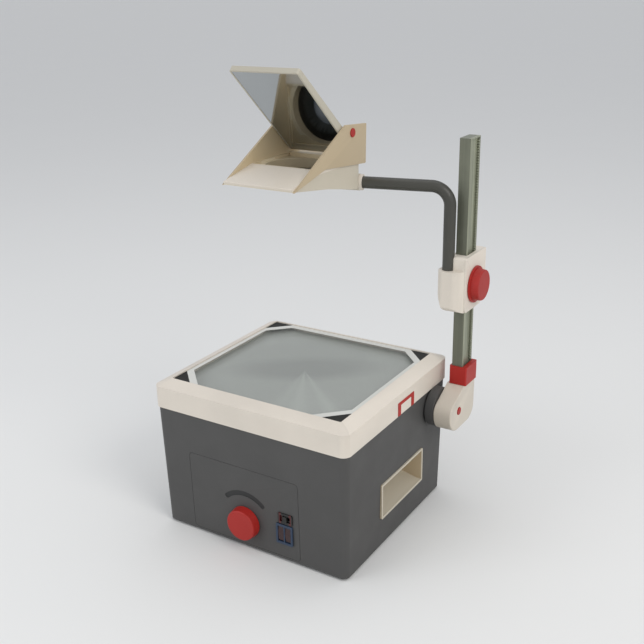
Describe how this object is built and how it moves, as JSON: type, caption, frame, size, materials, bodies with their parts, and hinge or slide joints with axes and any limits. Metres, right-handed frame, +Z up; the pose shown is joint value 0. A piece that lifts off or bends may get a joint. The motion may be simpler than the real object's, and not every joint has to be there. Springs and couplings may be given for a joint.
{
  "type": "overhead projector",
  "caption": "Overhead projector: box lamp house with glass stage, folding side mast, rack-focused carriage, bent arm and lens head with tilting mirror.",
  "frame": {"origin": "on the table under the middle of the lamp house", "axes": "+X to the mast side, +Y to the rear, -Y the control side, +Z up"},
  "size_m": [0.4023, 0.358, 0.7019],
  "materials": {
    "shell_grey": "fine textured dark grey",
    "cream_plastic": "satin warm cream",
    "cream_cast": "satin cream paint on an alloy casting",
    "liner_beige": "moulded beige",
    "red_plastic": "semi-gloss red",
    "black_plastic": "matt black",
    "blue_plastic": "dark blue",
    "post_alloy": "grey anodised extrusion",
    "arm_steel": "dark grey paint",
    "bare_steel": "plain steel",
    "core_steel": "varnished laminations",
    "copper": "enamelled wire winding",
    "rubber": "matt",
    "glass": "clear polished",
    "stage_glass": "clear plate over ribbed lens",
    "fresnel": "finely grooved acrylic",
    "strip": "pale grey printed border",
    "mask": "dark mask",
    "mirror": "front-surface mirror",
    "ceramic": "white ceramic",
    "bright_alloy": "polished reflector",
    "smoked_plastic": "dark smoked window",
    "tan_plastic": "satin tan",
    "nylon": "natural nylon"
  },
  "bodies": {
    "base": {"body_shell": "shell_grey", "base_pan": "arm_steel", "rubber_feet": "rubber", "machine_screws": "bare_steel", "control_panel": "shell_grey", "arc_scale": "smoked_plastic", "handle_cups": "liner_beige", "vent_grille": "black_plastic", "power_inlet": "black_plastic", "lamp_frame": "bare_steel", "condenser_lens": "glass", "guide_rods": "bare_steel", "hinge_pins": "bare_steel", "pivot_shaft": "bare_steel", "mast_bracket": "shell_grey", "backing_plate": "bare_steel", "transformer_core": "core_steel", "transformer_coil": "copper", "fan_housing": "black_plastic", "rocker_bezel": "blue_plastic", "selector_bezel": "black_plastic"},
    "lid": {"lid_frame": "cream_plastic", "stage_glass": "stage_glass", "fresnel_lens": "fresnel", "aperture_strip": "strip", "corner_masks": "mask", "latch_surrounds": "red_plastic"},
    "latch_right": {"latch_button_right": "cream_plastic"},
    "latch_left": {"latch_button_left": "cream_plastic"},
    "fringe": {"fringe_knob": "red_plastic", "fringe_shaft": "bare_steel", "dial_pointer": "red_plastic"},
    "lamp": {"lamp_carrier": "bright_alloy", "lamp_socket": "ceramic", "halogen_bulb": "glass", "lamp_reflector": "bright_alloy"},
    "power_switch": {"power_rocker": "black_plastic"},
    "lamp_switch": {"lamp_rocker": "black_plastic"},
    "selector": {"selector_button": "black_plastic"},
    "fan": {"fan_rotor": "black_plastic"},
    "mast": {"knuckle": "cream_cast", "mast_post": "post_alloy", "post_cap": "post_alloy", "focus_rack": "nylon"},
    "release": {"release_button": "red_plastic"},
    "collar": {"lock_collar": "red_plastic"},
    "carriage": {"carriage_housing": "cream_plastic", "carriage_cover": "cream_plastic"},
    "focus": {"focus_knob": "red_plastic", "focus_gear": "nylon"},
    "arm": {"arm_tube": "arm_steel", "arm_ferrule": "cream_plastic", "head_base": "cream_plastic", "head_deck": "cream_plastic", "head_cheeks": "tan_plastic", "lens_barrel": "black_plastic", "projection_lenses": "glass", "flap_pivots": "red_plastic"},
    "mirror": {"mirror_flap": "cream_plastic", "mirror_glass": "mirror"}
  },
  "joints": [
    {"name": "lid_hinge", "type": "hinge", "parent": "base", "child": "lid", "pos_m": [0, 0.166, 0.203], "axis": [1, 0, 0], "range_deg": [-35, 0]},
    {"name": "latch_right_push", "type": "slide", "parent": "lid", "child": "latch_right", "axis": [-1, 0, 0], "range_m": [0, 0.002], "stiffness_N_per_m": 400, "springref_m": -0.002},
    {"name": "latch_left_push", "type": "slide", "parent": "lid", "child": "latch_left", "axis": [1, 0, 0], "range_m": [0, 0.002], "stiffness_N_per_m": 400, "springref_m": -0.002},
    {"name": "fringe_turn", "type": "hinge", "parent": "base", "child": "fringe", "pos_m": [-0.01, -0.12, 0.047], "axis": [0, -1, 0], "range_deg": [-40, 40]},
    {"name": "lamp_lift", "type": "slide", "parent": "base", "child": "lamp", "axis": [0, 0, 1], "range_m": [-0.0078, 0.0078]},
    {"name": "power_rocker_tilt", "type": "hinge", "parent": "base", "child": "power_switch", "pos_m": [0.0549, -0.151, 0.048], "axis": [1, 0, 0], "range_deg": [-6, 6]},
    {"name": "lamp_rocker_tilt", "type": "hinge", "parent": "base", "child": "lamp_switch", "pos_m": [0.0671, -0.151, 0.048], "axis": [1, 0, 0], "range_deg": [-6, 6]},
    {"name": "selector_slide", "type": "slide", "parent": "base", "child": "selector", "axis": [1, 0, 0], "range_m": [-0.004, 0.004]},
    {"name": "fan_spin", "type": "hinge", "parent": "base", "child": "fan", "pos_m": [-0.09, 0.1385, 0.055], "axis": [0, 1, 0], "continuous": true},
    {"name": "mast_fold", "type": "hinge", "parent": "base", "child": "mast", "pos_m": [0.2, 0.1085, 0.173], "axis": [1, 0, 0], "range_deg": [0, 80]},
    {"name": "release_push", "type": "slide", "parent": "mast", "child": "release", "axis": [-1, 0, 0], "range_m": [0, 0.0025], "stiffness_N_per_m": 400, "springref_m": -0.002},
    {"name": "collar_lift", "type": "slide", "parent": "mast", "child": "collar", "axis": [0, 0, 1], "range_m": [0, 0.012]},
    {"name": "focus_slide", "type": "slide", "parent": "mast", "child": "carriage", "axis": [0, 0, 1], "range_m": [-0.07, 0.14]},
    {"name": "focus_turn", "type": "hinge", "parent": "carriage", "child": "focus", "pos_m": [0.215, 0.147, 0.371], "axis": [1, 0, 0], "range_deg": [-650, 328]},
    {"name": "arm_swivel", "type": "hinge", "parent": "carriage", "child": "arm", "pos_m": [0.186, 0.115, 0.372], "axis": [0, 0, -1], "range_deg": [-30, 75]},
    {"name": "mirror_tilt", "type": "hinge", "parent": "arm", "child": "mirror", "pos_m": [0, 0.049, 0.602], "axis": [1, 0, 0], "range_deg": [-15, 48]}
  ],
  "couplings": [
    {"joint": "fringe_turn", "follows": "lamp_lift", "rad_per_m": 88.889},
    {"joint": "focus_turn", "follows": "focus_slide", "rad_per_m": -80}
  ]
}
